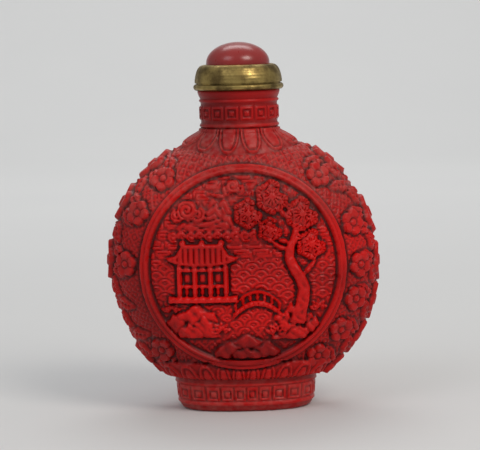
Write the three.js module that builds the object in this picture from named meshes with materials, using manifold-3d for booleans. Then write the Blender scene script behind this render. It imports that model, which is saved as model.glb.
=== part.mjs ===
// A flattened, moon-shaped snuff bottle in carved red lacquer, with its domed stopper.
// Millimetres, +Z up, the broad faces looking along -Y and +Y, the origin under the middle of the foot.
// The bottle is one hollow piece: foot, round body and neck, with the carving standing on its skin.
// The stopper is three pieces: a cork, a brass collar and a lacquer dome set in the collar.

import * as THREE from 'three';
import { mergeVertices } from 'three/addons/utils/BufferGeometryUtils.js';
import Module from 'manifold-3d';

const wasm = await Module();
wasm.setup();

// ---------------------------------------------------------------- driving dimensions

const body = { radius: 26.2, halfDepth: 13.8, centre: 29.2, squareness: 3.2 };
const foot = { halfWidth: 13.3, halfDepth: 8.8, height: 6.6, flare: 0.5, squareness: 2.4, fillet: 4.2 };
const recess = { inset: 2.4, depth: 1.2 };
const neck = { radius: 7.6, top: 63.4, lipRadius: 8.2, lipHeight: 1.8, fillet: 4.6 };
const cavity = { radius: 21.0, halfDepth: 9.2, squareness: 2.6 };
const bore = { radius: 4.0, fillet: 2.5 };

const medallion = { radius: 18.4, rim: 1.6 };
const relief = { rim: 1.2, high: 1.4, middle: 0.95, low: 0.55 };

const collar = { radius: 9.0, height: 5.0, mouth: 7.0, wall: 0.45, seat: 0.8 };
const dome = { radius: 6.3, height: 5.2, edge: 1.1 };
const cork = { radius: 3.7, tipRadius: 3.35, length: 6.0, chamfer: 0.5 };

// Flowers run round the edge of the body: the bearing of each, in degrees from +X towards the neck,
// and how far it stands out.
const flower = { radius: 4.1, petals: 5 };
const leaf = { radius: 2.9, tilt: 40 };
const flank = { inset: 10.5, chamfer: 0.6 };
const edgeFlowers = {
  right: [[-52, 2.0], [-35, 1.9], [-18, 1.6], [-1, 1.2], [20, 1.2], [49, 1.2]],
  left: [[131, 0.9], [152, 1.1], [178, 1.0], [225, 1.1]],
};

const columns = 36;
const innerColumns = 20;

const colours = { lacquer: 0x9c1a16, brass: 0x8a6f3c, cork: 0xa98256 };

// ---------------------------------------------------------------- solids and meshes

// A closed three.js geometry as a solid that can be joined and cut.
function solidOf(geometry) {
  const bare = geometry.index ? geometry.toNonIndexed() : geometry.clone();
  bare.deleteAttribute('normal');
  bare.deleteAttribute('uv');
  const merged = mergeVertices(bare, 1e-4);
  return new wasm.Manifold(new wasm.Mesh({
    numProp: 3,
    vertProperties: merged.attributes.position.array,
    triVerts: new Uint32Array(merged.index.array),
  }));
}

function geometryOf(solid) {
  const { vertProperties, triVerts } = solid.getMesh();
  const geometry = new THREE.BufferGeometry();
  geometry.setAttribute('position', new THREE.BufferAttribute(vertProperties, 3));
  geometry.setIndex(new THREE.BufferAttribute(triVerts, 1));
  geometry.computeVertexNormals();
  return geometry;
}

function joined(solids) {
  return solids.reduce((sum, solid) => sum.add(solid));
}

function radians(degrees) {
  return THREE.MathUtils.degToRad(degrees);
}

// ---------------------------------------------------------------- the form of the flask

// The larger of two distances, rounded off where they are nearly the same.
function blendedMax(a, b, width) {
  const near = Math.max(width - Math.abs(a - b), 0) / width;
  return Math.max(a, b) + near * near * width / 4;
}

// Half the depth of a moon shape at a distance from the middle of its face.
function moonDepth(moon, distance) {
  const share = Math.min(distance / moon.radius, 1);
  return moon.halfDepth * Math.sqrt(1 - share ** moon.squareness);
}

// How far a moon shape reaches from the upright axis, at a rise above its centre and a bearing.
function moonReach(moon, rise, bearing) {
  if (Math.abs(rise) >= moon.radius) return moon.radius - Math.abs(rise);
  let inside = 0;
  let outside = moon.radius;
  for (let step = 0; step < 40; step += 1) {
    const reach = (inside + outside) / 2;
    const distance = Math.hypot(reach * Math.cos(bearing), rise);
    const within = distance < moon.radius
      && Math.abs(reach * Math.sin(bearing)) < moonDepth(moon, distance);
    if (within) inside = reach;
    else outside = reach;
  }
  return inside;
}

// How far an oval reaches from its centre at a bearing.
function ovalReach(halfWidth, halfDepth, squareness, bearing) {
  const across = Math.abs(Math.cos(bearing) / halfWidth) ** squareness;
  const deep = Math.abs(Math.sin(bearing) / halfDepth) ** squareness;
  return (across + deep) ** (-1 / squareness);
}

// The foot stands on an oval, and widens a little towards the body.
function footReach(height, bearing) {
  if (height > foot.height + foot.fillet) return 0;
  const widening = foot.flare * Math.min(height / foot.height, 1);
  return ovalReach(foot.halfWidth + widening, foot.halfDepth + widening, foot.squareness, bearing);
}

// The neck is round, straight, and turned out a little at the lip.
function neckReach(height) {
  if (height < body.centre) return 0;
  const intoLip = THREE.MathUtils.clamp((height - neck.top + neck.lipHeight) / neck.lipHeight, 0, 1);
  return neck.radius + (neck.lipRadius - neck.radius) * Math.sin(intoLip * Math.PI / 2);
}

function outerReach(height, bearing, swell) {
  const moon = {
    radius: body.radius + swell,
    halfDepth: body.halfDepth + swell,
    squareness: body.squareness,
  };
  const round = moonReach(moon, height - body.centre, bearing);
  if (height > body.centre) return blendedMax(round, neckReach(height), neck.fillet);
  return blendedMax(round, footReach(height, bearing), foot.fillet);
}

function innerReach(height, bearing) {
  return blendedMax(moonReach(cavity, height - body.centre, bearing), bore.radius, bore.fillet);
}

// Heights for the rings of a moon shape, closer together towards its top and bottom.
function moonHeights(moon, from, to, steps) {
  const start = Math.acos((body.centre - from) / moon.radius);
  const end = Math.acos((body.centre - to) / moon.radius);
  return Array.from({ length: steps + 1 }, (_, i) => {
    const turn = start + (end - start) * i / steps;
    return body.centre - moon.radius * Math.cos(turn);
  });
}

// A closed shell of rings, one at each height, each reaching out as the given function says.
function ringedSolid(heights, count, reachAt) {
  const profile = heights.map((height) => new THREE.Vector2(1, height));
  profile.unshift(new THREE.Vector2(0, heights[0]));
  profile.push(new THREE.Vector2(0, heights.at(-1)));
  const lathe = new THREE.LatheGeometry(profile, count);
  lathe.rotateX(Math.PI / 2);
  const position = lathe.attributes.position;
  for (let i = 0; i < position.count; i += 1) {
    const x = position.getX(i);
    const y = position.getY(i);
    if (Math.hypot(x, y) < 0.5) {
      position.setXYZ(i, 0, 0, position.getZ(i));
      continue;
    }
    const turn = Math.round(Math.atan2(y, x) / (2 * Math.PI) * count) / count * 2 * Math.PI;
    const bearing = Math.atan2(body.halfDepth * Math.sin(turn), body.radius * Math.cos(turn));
    const reach = reachAt(position.getZ(i), bearing);
    position.setXY(i, reach * Math.cos(bearing), reach * Math.sin(bearing));
  }
  return solidOf(lathe);
}

const footRings = [0, 0.5, foot.height * 0.45, foot.height * 0.85];
const neckRings = [55.6, 57.4, neck.top - neck.lipHeight, neck.top - 0.8, neck.top];

function flaskForm(swell) {
  const round = moonHeights(body, foot.height, 54.2, 11);
  return ringedSolid([...footRings, ...round, ...neckRings], columns,
    (height, bearing) => outerReach(height, bearing, swell));
}

// The hollow runs out through the lip, so that it is open to the neck.
function hollowForm() {
  const bottom = body.centre - cavity.radius;
  const top = body.centre + cavity.radius;
  const round = moonHeights(cavity, bottom + 0.4, top - 0.3, 8);
  const base = bottom + 0.05;
  return ringedSolid([base, ...round, top + 2, neck.top + 1], innerColumns, (height, bearing) => {
    if (height > body.centre) return innerReach(height, bearing);
    return Math.max(moonReach(cavity, height - body.centre, bearing), 1);
  });
}

// The shallow oval hollow under the foot leaves a rim to stand on.
function footRecess() {
  return ringedSolid([-1, recess.depth], columns, (_, bearing) => ovalReach(
    foot.halfWidth - recess.inset, foot.halfDepth - recess.inset, foot.squareness, bearing));
}

// ---------------------------------------------------------------- outlines of the carving
// Each outline is a ring of points across a face: x to the right and u up, from the face's middle.

function point(x, u) {
  return new THREE.Vector2(x, u);
}

function ringOf(count, at) {
  return Array.from({ length: count }, (_, i) => at(i / count * 2 * Math.PI, i));
}

// A round mass with a scalloped edge: a pine's needle pad, a cloud or a flower.
function scallopedDisc(x, u, radius, lobes, depth = 0.2) {
  return ringOf(lobes * 3, (turn) => {
    const reach = radius * (1 - depth + depth * Math.abs(Math.sin(lobes * turn / 2)));
    return point(x + reach * Math.cos(turn), u + reach * Math.sin(turn));
  });
}

// A rock: flat below, rising in broken steps to a crest.
function crag(x, u, width, height, lean = 0) {
  const steps = 6;
  const crest = Array.from({ length: steps + 1 }, (_, i) => {
    const share = 1 - i / steps;
    const rise = height * Math.sin(Math.PI * (0.08 + 0.84 * share)) * (i % 2 ? 1 : 0.76);
    return point(x + (share - 0.5) * width + lean * rise, u + rise);
  });
  return [point(x - width / 2, u - 0.5), point(x + width / 2, u - 0.5), ...crest];
}

// A band that follows a smooth line and tapers from one width to another: a trunk or a branch.
function taperedBand(line, startWidth, endWidth, steps) {
  const curve = new THREE.SplineCurve(line.map(([x, u]) => point(x, u)));
  const edge = (side) => Array.from({ length: steps + 1 }, (_, i) => {
    const along = i / steps;
    const at = curve.getPoint(along);
    const heading = curve.getTangent(along);
    const half = side * (startWidth + (endWidth - startWidth) * along) / 2;
    return point(at.x - heading.y * half, at.y + heading.x * half);
  });
  return [...edge(-1), ...edge(1).reverse()];
}

function rectangle(left, bottom, width, height) {
  return [
    point(left, bottom),
    point(left + width, bottom),
    point(left + width, bottom + height),
    point(left, bottom + height),
  ];
}

// A tiled roof with a straight ridge and eaves that sweep up at both ends.
function sweptRoof(x, u, width, height) {
  const eaves = Array.from({ length: 9 }, (_, i) => {
    const across = i / 4 - 1;
    return point(x + across * width / 2, u + 0.35 * height * across ** 4);
  });
  const ridge = width * 0.27;
  return [
    ...eaves,
    point(x + width * 0.36, u + height * 0.5),
    point(x + ridge, u + height),
    point(x - ridge, u + height),
    point(x - width * 0.36, u + height * 0.5),
  ];
}

// A humped footbridge, thick in the deck and open below.
function archedDeck(x, u, span, rise, thickness) {
  const arc = (lift, side) => Array.from({ length: 9 }, (_, i) => {
    const across = side * (i / 4 - 1);
    return point(x + across * span / 2, u + lift + rise * (1 - across ** 2));
  });
  return [...arc(-thickness, 1), ...arc(0, -1)];
}

// ---------------------------------------------------------------- carving

// A column with the given outline, standing out through one broad face.
function faceColumn(outline, facing) {
  const shape = new THREE.Shape(outline);
  const column = new THREE.ExtrudeGeometry(shape, { depth: body.halfDepth, bevelEnabled: false });
  column.rotateX(Math.PI / 2);
  column.translate(0, -body.halfDepth * 0.45, body.centre);
  if (facing === 'back') column.rotateZ(Math.PI);
  return solidOf(column);
}

// Carving of one height: the columns, cut off parallel to the skin of the body.
function carvedLayer(outlines, facing, height) {
  const columnsOfLayer = outlines.map((outline) => faceColumn(outline, facing));
  return joined(columnsOfLayer).intersect(flaskForm(height));
}

// The raised ring round the picture on each face, turned about the axis through both faces.
function medallionRim(facing) {
  const inner = medallion.radius;
  const outer = medallion.radius + medallion.rim;
  const root = body.halfDepth * 0.5;
  const profile = [
    [inner, root],
    [outer, root],
    [outer, moonDepth(body, outer) + relief.rim * 0.6],
    [(inner + outer) / 2, moonDepth(body, (inner + outer) / 2) + relief.rim],
    [inner, moonDepth(body, inner) + relief.rim * 0.7],
    [inner, root],
  ];
  const ring = new THREE.LatheGeometry(profile.map(([r, y]) => new THREE.Vector2(r, y)), 40);
  if (facing === 'front') ring.rotateX(Math.PI);
  ring.translate(0, 0, body.centre);
  return solidOf(ring);
}

// The front: a pavilion by the water, with a pine, a footbridge, rocks, hills and clouds.
function frontCarving() {
  const hills = [crag(-7, 6.5, 12, 6.5, 0.1), crag(1.5, 5.5, 9, 4.5, -0.1)];
  const clouds = [
    scallopedDisc(-10.5, 10.2, 2.6, 5),
    scallopedDisc(-7.2, 9.3, 1.9, 5),
  ];
  const rocks = [
    crag(-10.2, -13.0, 11, 6.9, 0.15),
    crag(10.4, -13.6, 10.5, 6.8, -0.2),
    crag(0.5, -17.2, 13, 4.2),
  ];
  const building = [
    rectangle(-14.6, -6.6, 13.4, 1.3),
    rectangle(-12.9, -5.4, 1.0, 6.4),
    rectangle(-9.9, -5.4, 1.0, 6.4),
    rectangle(-6.9, -5.4, 1.0, 6.4),
    rectangle(-3.9, -5.4, 1.0, 6.4),
    sweptRoof(-7.9, 0.6, 14.2, 4.3),
  ];
  const bridge = [archedDeck(2.6, -8.9, 9.6, 2.6, 1.1)];
  const trunk = taperedBand([[10.2, -11], [11.6, -4], [9.0, 2], [10.4, 7.5], [7.0, 11.5]], 2.7, 1.1, 10);
  const boughs = [
    taperedBand([[10.4, -2.5], [13.2, 0.2], [14.2, 2.6]], 1.3, 0.7, 4),
    taperedBand([[9.3, 4.5], [5.2, 6.4], [2.6, 9.5]], 1.3, 0.7, 4),
  ];
  const pads = [
    scallopedDisc(13.2, 4.4, 3.0, 6),
    scallopedDisc(11.6, 10.2, 3.3, 7),
    scallopedDisc(5.9, 13.6, 3.3, 7),
    scallopedDisc(1.2, 10.6, 2.9, 6),
    scallopedDisc(5.4, 7.4, 2.3, 5),
  ];
  return [
    carvedLayer(hills, 'front', relief.low),
    carvedLayer([...clouds, ...rocks, ...bridge], 'front', relief.middle),
    carvedLayer([...building, trunk, ...boughs, ...pads], 'front', relief.high),
  ];
}

// The back, in the same hand but plainer: a plum tree on a rock, a boat, hills and clouds.
function backCarving() {
  const hills = [crag(6.5, 3.5, 13, 6.5, -0.1), crag(-1.5, 3.0, 8, 4.2, 0.1)];
  const clouds = [scallopedDisc(9.8, 11.4, 2.4, 5), scallopedDisc(6.9, 12.2, 1.8, 5)];
  const rocks = [crag(-9.2, -13.4, 12.5, 8.2, 0.15), crag(4.5, -16.4, 14, 4.6, -0.1)];
  const boat = [
    archedDeck(7.6, -4.4, 11, -1.7, 1.5),
    sweptRoof(7.6, -4.6, 5.6, 2.6),
  ];
  const trunk = taperedBand([[-8.6, -8], [-10.6, -3], [-6.6, 2.5], [-8.4, 7.5], [-4.6, 12]], 2.6, 0.9, 10);
  const boughs = [
    taperedBand([[-9.6, -2.5], [-13.2, 1.2], [-14.2, 5]], 1.2, 0.7, 4),
    taperedBand([[-7.2, 4], [-3.2, 5.4], [0.2, 9]], 1.2, 0.7, 4),
  ];
  const blossoms = [
    [-13.6, 6.6], [-11.0, 1.2], [-8.6, 10.6], [-4.2, 13.8], [-2.4, 5.4], [1.2, 10.8], [-4.9, 8.8],
  ].map(([x, u]) => scallopedDisc(x, u, 1.9, 5, 0.3));
  return [
    carvedLayer(hills, 'back', relief.low),
    carvedLayer([...clouds, ...rocks], 'back', relief.middle),
    carvedLayer([...boat, trunk, ...boughs, ...blossoms], 'back', relief.high),
  ];
}

// How far it is to the skin from a point inside the edge of the body, leaning towards one face.
function reachFromInside(start, tilt) {
  let inside = 0;
  let outside = body.radius;
  for (let step = 0; step < 40; step += 1) {
    const reach = (inside + outside) / 2;
    const distance = start + reach * Math.cos(tilt);
    const within = distance < body.radius && reach * Math.sin(tilt) < moonDepth(body, distance);
    if (within) inside = reach;
    else outside = reach;
  }
  return inside;
}

// A carved boss with the given outline and a chamfered top, standing out of the edge of the body
// at a bearing, and leaning towards one face by a tilt.
function edgeBoss(outline, bearing, tilt, height) {
  const start = body.radius - flank.inset;
  const length = reachFromInside(start, Math.abs(tilt)) + height;
  const boss = new THREE.ExtrudeGeometry(new THREE.Shape(outline), {
    depth: length - 2 * flank.chamfer,
    bevelThickness: flank.chamfer,
    bevelSize: flank.chamfer,
    bevelOffset: -flank.chamfer,
    bevelSegments: 1,
  });
  boss.translate(0, 0, flank.chamfer);
  boss.rotateZ(Math.PI / 2);
  boss.rotateY(Math.PI / 2);
  boss.rotateZ(tilt);
  boss.rotateY(-bearing);
  boss.translate(start * Math.cos(bearing), 0, body.centre + start * Math.sin(bearing));
  return solidOf(boss);
}

// Flowers run round the edge, between the two faces, with a pair of lower leaves in each gap.
function edgeCarving(flowers) {
  const heads = flowers.map(([bearing, height]) => edgeBoss(
    scallopedDisc(0, 0, flower.radius, flower.petals), radians(bearing), 0, height));
  const leaves = flowers.slice(1).flatMap(([bearing], i) => {
    const between = radians((bearing + flowers[i][0]) / 2);
    return [-1, 1].map((side) => edgeBoss(
      scallopedDisc(0, 0, leaf.radius, 3, 0.35), between, side * radians(leaf.tilt), relief.middle));
  });
  return [...heads, ...leaves];
}

// ---------------------------------------------------------------- the pieces

function mesh(name, geometry, look) {
  const made = new THREE.Mesh(geometry, new THREE.MeshStandardMaterial(look));
  made.name = name;
  return made;
}

// The whole bottle: the form with its carving, less the hollow and the recess under the foot.
function bottleMesh() {
  const skin = joined([
    flaskForm(0),
    medallionRim('front'),
    medallionRim('back'),
    ...frontCarving(),
    ...backCarving(),
    ...edgeCarving(edgeFlowers.right),
    ...edgeCarving(edgeFlowers.left),
  ]);
  const bottle = skin.subtract(hollowForm()).subtract(footRecess()).simplify(0.04);
  return mesh('bottle', geometryOf(bottle), { color: colours.lacquer, roughness: 0.42, metalness: 0 });
}

// A turned piece: its profile runs from the axis to the axis, in pairs of radius and height.
function turned(profile, segments) {
  const points = profile.map(([radius, height]) => new THREE.Vector2(radius, height));
  return new THREE.LatheGeometry(points, segments).rotateX(Math.PI / 2);
}

// The collar is a domed brass bezel with a rolled lower edge and a seat for the dome.
function collarMesh() {
  const { radius, height, mouth, wall, seat } = collar;
  const shoulder = Array.from({ length: 7 }, (_, i) => {
    const turn = i / 6 * Math.PI / 2;
    return [mouth + (radius - 0.25 - mouth) * Math.cos(turn), 1.5 + (height - 1.5) * Math.sin(turn)];
  });
  const profile = [
    [0, 0],
    [radius - 0.4, 0],
    [radius, 0.4],
    [radius, 1.0],
    [radius - 0.4, 1.35],
    ...shoulder,
    [mouth - wall, height],
    [mouth - wall, height - seat],
    [0, height - seat],
  ];
  return mesh('stopper_collar', turned(profile, 32), { color: colours.brass, roughness: 0.4, metalness: 1 });
}

// The dome sits in the collar's seat and rises as a low cabochon.
function domeMesh() {
  const { radius, height, edge } = dome;
  const cap = Array.from({ length: 9 }, (_, i) => {
    const turn = i / 8 * Math.PI / 2;
    return [radius * Math.cos(turn), edge + (height - edge) * Math.sin(turn)];
  });
  cap[cap.length - 1][0] = 0;
  const made = mesh('stopper_dome', turned([[0, 0], [radius, 0], ...cap], 32),
    { color: colours.lacquer, roughness: 0.25, metalness: 0 });
  made.position.z = collar.height - collar.seat;
  return made;
}

function corkMesh() {
  const { radius, tipRadius, length, chamfer } = cork;
  const profile = [
    [0, -length],
    [tipRadius - chamfer, -length],
    [tipRadius, -length + chamfer],
    [radius, 0],
    [0, 0],
  ];
  return mesh('stopper_cork', turned(profile, 24), { color: colours.cork, roughness: 0.9, metalness: 0 });
}

const stopper = new THREE.Group();
stopper.position.z = neck.top;
stopper.add(corkMesh(), collarMesh(), domeMesh());

const snuffBottle = new THREE.Group();
snuffBottle.add(bottleMesh(), stopper);

export default snuffBottle;
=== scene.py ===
import math

import bpy
import numpy as np
from mathutils import Euler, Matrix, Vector


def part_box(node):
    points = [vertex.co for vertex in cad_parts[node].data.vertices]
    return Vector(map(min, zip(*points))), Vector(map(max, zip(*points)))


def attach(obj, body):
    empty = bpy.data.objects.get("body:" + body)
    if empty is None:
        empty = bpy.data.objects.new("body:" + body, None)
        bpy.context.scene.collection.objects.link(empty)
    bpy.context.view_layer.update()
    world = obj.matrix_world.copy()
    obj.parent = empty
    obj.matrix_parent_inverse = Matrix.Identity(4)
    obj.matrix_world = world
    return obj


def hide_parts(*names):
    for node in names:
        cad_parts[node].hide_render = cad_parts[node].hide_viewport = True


scene = bpy.context.scene
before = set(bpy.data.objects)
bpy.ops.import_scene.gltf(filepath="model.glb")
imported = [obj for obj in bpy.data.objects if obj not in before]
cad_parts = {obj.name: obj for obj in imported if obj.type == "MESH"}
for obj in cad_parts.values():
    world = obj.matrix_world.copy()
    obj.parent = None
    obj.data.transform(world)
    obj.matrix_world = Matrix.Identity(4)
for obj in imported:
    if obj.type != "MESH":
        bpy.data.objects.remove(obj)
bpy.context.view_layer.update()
print("frame loaded:", ", ".join(sorted(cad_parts)))

mm = 0.001


def toLinear(hexColour):
    channels = [int(hexColour[i:i + 2], 16) / 255 for i in (1, 3, 5)]
    return [c / 12.92 if c <= 0.04045 else ((c + 0.055) / 1.055) ** 2.4 for c in channels] + [1.0]


# gives a node's inputs plain values, and links what is given as a socket
def setInputs(tree, node, values):
    for key, value in values.items():
        if isinstance(value, bpy.types.NodeSocket):
            tree.links.new(value, node.inputs[key])
        else:
            node.inputs[key].default_value = value


def addNode(tree, kind, settings, values, output):
    node = tree.nodes.new("ShaderNode" + kind)
    for key, value in settings.items():
        setattr(node, key, value)
    setInputs(tree, node, values)
    return node.outputs[output]


# the nodes every material here is made of; each gives the socket it puts out
def noise(tree, place, scale, detail=2.0, roughness=0.5):
    values = {"Vector": place, "Scale": scale, "Detail": detail, "Roughness": roughness}
    return addNode(tree, "TexNoise", {}, values, "Fac")


def remap(tree, value, start, end, low=0.0, high=1.0):
    values = {"Value": value, "From Min": start, "From Max": end, "To Min": low, "To Max": high}
    return addNode(tree, "MapRange", {}, values, "Result")


def compute(tree, operation, first, second):
    return addNode(tree, "Math", {"operation": operation}, {0: first, 1: second}, "Value")


def blend(tree, factor, first, second):
    first, second = (toLinear(colour) if isinstance(colour, str) else colour for colour in (first, second))
    values = {"Factor": factor, "A": first, "B": second}
    return addNode(tree, "Mix", {"data_type": "RGBA"}, values, "Result")


def bump(tree, height, strength, distance):
    values = {"Height": height, "Strength": strength, "Distance": distance}
    return addNode(tree, "Bump", {}, values, "Normal")


def newMaterial(name):
    material = bpy.data.materials.new(name)
    material.use_nodes = True
    tree = material.node_tree
    return material, tree, tree.nodes["Principled BSDF"], addNode(tree, "TexCoord", {}, {}, "Object")


def addObject(name, data):
    piece = bpy.data.objects.new(name, data)
    scene.collection.objects.link(piece)
    return piece


def makeActive(piece):
    if bpy.context.object and bpy.context.object.mode != "OBJECT":
        bpy.ops.object.mode_set(mode="OBJECT")
    bpy.ops.object.select_all(action="DESELECT")
    piece.select_set(True)
    bpy.context.view_layer.objects.active = piece


# welds what meets, turns every face outwards and leaves edit mode
def closeSkin():
    bpy.ops.mesh.select_all(action="SELECT")
    bpy.ops.mesh.remove_doubles(threshold=1e-6)
    bpy.ops.mesh.normals_make_consistent(inside=False)
    bpy.ops.object.mode_set(mode="OBJECT")


def smoothShade(piece, sharpAngle):
    makeActive(piece)
    bpy.ops.object.shade_smooth_by_angle(angle=math.radians(sharpAngle))


# camera, light and floor, in metres and degrees

view = {
    "aim": (-0.0004, 0.0, 0.0363),
    "distance": 0.422,
    "elevation": 5.7,
    "roll": -1.5,
    "widthSeen": 0.096,
}


def placeCamera():
    camera = bpy.data.cameras.new("camera")
    cameraObject = addObject("camera", camera)
    tip = math.radians(view["elevation"])
    back = Vector((0, -math.cos(tip), math.sin(tip)))
    cameraObject.location = Vector(view["aim"]) + back * view["distance"]
    turn = back.to_track_quat("Z", "Y") @ Euler((0, 0, math.radians(view["roll"]))).to_quaternion()
    cameraObject.rotation_mode = "QUATERNION"
    cameraObject.rotation_quaternion = turn
    camera.sensor_width = 36
    camera.lens = 36 * view["distance"] / view["widthSeen"]
    camera.clip_start = 0.01
    camera.clip_end = 20
    scene.camera = cameraObject


# soft boxes: where each stands, what it faces, its size, its power and its colour
lamps = {
    "keyRight": {"at": (0.30, -0.37, 0.46), "facing": (0, 0, 0.03), "size": 0.24,
                 "power": 1.5, "colour": "#fff8f0"},
    "fillLeft": {"at": (-0.32, -0.35, 0.46), "facing": (0, 0, 0.03), "size": 0.28,
                 "power": 0.55, "colour": "#f6f8ff"},
    "overhead": {"at": (0.0, 0.10, 0.75), "facing": (0, 0.10, 0), "size": 0.80,
                 "power": 0.15, "colour": "#ffffff"},
    "backdrop": {"at": (0.0, 0.55, 0.80), "facing": (0, 0.95, 0), "size": 0.60,
                 "power": 3.85, "colour": "#ffffff"},
}

studio = {
    "walls": "#dfe1e2", "wallLight": 0.57, "card": "#d2d2d2", "cardClouds": "#d6d6d5",
    "cardSize": 4.4, "cardBack": 1.3, "cardRise": 1.6, "cardBend": 0.6,
}


def hangLamps():
    for name, lamp in lamps.items():
        light = bpy.data.lights.new(name, "AREA")
        light.shape = "SQUARE"
        light.size = lamp["size"]
        light.energy = lamp["power"]
        light.color = toLinear(lamp["colour"])[:3]
        holder = addObject(name, light)
        holder.location = lamp["at"]
        away = Vector(lamp["at"]) - Vector(lamp["facing"])
        holder.rotation_euler = away.to_track_quat("Z", "Y").to_euler()
    world = bpy.data.worlds.new("studio")
    world.use_nodes = True
    walls = world.node_tree.nodes["Background"]
    walls.inputs["Color"].default_value = toLinear(studio["walls"])
    walls.inputs["Strength"].default_value = studio["wallLight"]
    scene.world = world
    scene.view_settings.view_transform = "Standard"


# selects the line where the card turns up, and goes back to edit mode
def pickBendLine(card):
    bpy.ops.object.mode_set(mode="OBJECT")
    for edge in card.data.edges:
        ends = [card.data.vertices[i].co for i in edge.vertices]
        edge.select = all(end.y > studio["cardBack"] - 0.01 and abs(end.z) < 0.01 for end in ends)
    bpy.ops.object.mode_set(mode="EDIT")


# a sheet of pale card that runs back under the bottle and curves up behind it
def rollOutCard():
    middle = studio["cardBack"] - studio["cardSize"] / 2
    bpy.ops.mesh.primitive_plane_add(size=studio["cardSize"], location=(0, middle, 0))
    card = bpy.context.object
    card.name = "card"
    bpy.ops.object.transform_apply(location=True, rotation=False, scale=False)
    bpy.ops.object.mode_set(mode="EDIT")
    bpy.ops.mesh.select_mode(type="EDGE")
    bpy.ops.mesh.select_all(action="DESELECT")
    pickBendLine(card)
    bpy.ops.mesh.extrude_region_move(TRANSFORM_OT_translate={"value": (0, 0, studio["cardRise"])})
    pickBendLine(card)
    bpy.ops.mesh.bevel(offset=studio["cardBend"], segments=24)
    bpy.ops.object.mode_set(mode="OBJECT")
    bpy.ops.object.shade_smooth()
    material, tree, shader, place = newMaterial("uncoatedPaperCard")
    # matt paper: an even pale grey, faintly cloudy a few centimetres across
    colour = blend(tree, noise(tree, place, 9.0), studio["card"], studio["cardClouds"])
    setInputs(tree, shader, {"Base Color": colour, "Roughness": 0.85})
    card.data.materials.append(material)


placeCamera()
hangLamps()
rollOutCard()
print("camera, lamps and card placed")


# the form of the flask, in millimetres, with the solids' own sizes

body = {"radius": 26.2, "halfDepth": 13.8, "centre": 29.2, "squareness": 3.2}
foot = {"halfWidth": 13.3, "halfDepth": 8.8, "height": 6.6, "flare": 0.5, "squareness": 2.4, "fillet": 4.2,
        "wornEdge": 1.4}
recess = {"inset": 2.4, "depth": 1.2}
neck = {"radius": 7.6, "root": 54.4, "top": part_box("bottle")[1].z / mm, "lipRadius": 8.2, "lipHeight": 1.8,
        "fillet": 4.6}
cavity = {"radius": 21.0, "halfDepth": 9.2, "centre": 29.2, "squareness": 2.6}
bore = {"radius": 4.0, "fillet": 2.5}
medallion = {"radius": 18.4, "rim": 1.6}

# spacing of the mesh in millimetres: close on the two pictures, wider elsewhere
weave = {"picture": 0.23, "edge": 0.34, "insideRings": 24, "mostTriangles": 197000, "sharpAngle": 58}


def blendedMax(a, b, width):
    near = np.maximum(width - np.abs(a - b), 0) / width
    return np.maximum(a, b) + near * near * width / 4


def moonDepth(moon, distance):
    share = np.clip(distance / moon["radius"], 0, 1)
    return moon["halfDepth"] * np.sqrt(1 - share ** moon["squareness"])


# how far a moon shape reaches from the upright axis, at a rise above its centre, for every bearing
def moonReach(moon, rise, bearing):
    if abs(rise) >= moon["radius"]:
        return np.full_like(bearing, moon["radius"] - abs(rise))
    inside = np.zeros_like(bearing)
    outside = np.full_like(bearing, moon["radius"])
    for _ in range(36):
        reach = (inside + outside) / 2
        distance = np.hypot(reach * np.cos(bearing), rise)
        within = (distance < moon["radius"]) & (np.abs(reach * np.sin(bearing)) < moonDepth(moon, distance))
        inside = np.where(within, reach, inside)
        outside = np.where(within, outside, reach)
    return inside


def ovalReach(halfWidth, halfDepth, squareness, bearing):
    across = np.abs(np.cos(bearing) / halfWidth) ** squareness
    deep = np.abs(np.sin(bearing) / halfDepth) ** squareness
    return (across + deep) ** (-1 / squareness)


def footReach(height, bearing):
    widening = foot["flare"] * min(height / foot["height"], 1)
    return ovalReach(foot["halfWidth"] + widening, foot["halfDepth"] + widening, foot["squareness"], bearing)


def neckReach(height):
    intoLip = min(max((height - neck["top"] + neck["lipHeight"]) / neck["lipHeight"], 0), 1)
    return neck["radius"] + (neck["lipRadius"] - neck["radius"]) * math.sin(intoLip * math.pi / 2)


def outerReach(height, bearing):
    bodyReach = moonReach(body, height - body["centre"], bearing)
    if height > body["centre"]:
        return blendedMax(bodyReach, neckReach(height), neck["fillet"])
    if height > foot["height"] + foot["fillet"]:
        return bodyReach
    return blendedMax(bodyReach, footReach(height, bearing), foot["fillet"])


def innerReach(height, bearing):
    hollow = moonReach(cavity, height - cavity["centre"], bearing)
    if height > cavity["centre"]:
        return blendedMax(hollow, bore["radius"], bore["fillet"])
    return np.maximum(hollow, 1)


# bearings for the columns of the mesh, spaced by the weave round the widest ring
def columnBearings():
    turn = np.linspace(0, 2 * np.pi, 7201)
    bearing = np.unwrap(np.arctan2(body["halfDepth"] * np.sin(turn), body["radius"] * np.cos(turn)))
    reach = moonReach(body, 0.0, bearing)
    x, y = reach * np.cos(bearing), reach * np.sin(bearing)
    middle = (x[1:] + x[:-1]) / 2
    pitch = np.where(np.abs(middle) < medallion["radius"] + 0.8, weave["picture"], weave["edge"])
    along = np.concatenate([[0], np.cumsum(np.hypot(np.diff(x), np.diff(y)) / pitch)])
    count = round(along[-1] / 4) * 4
    return np.interp(np.arange(count) * along[-1] / count, along, bearing)


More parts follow.
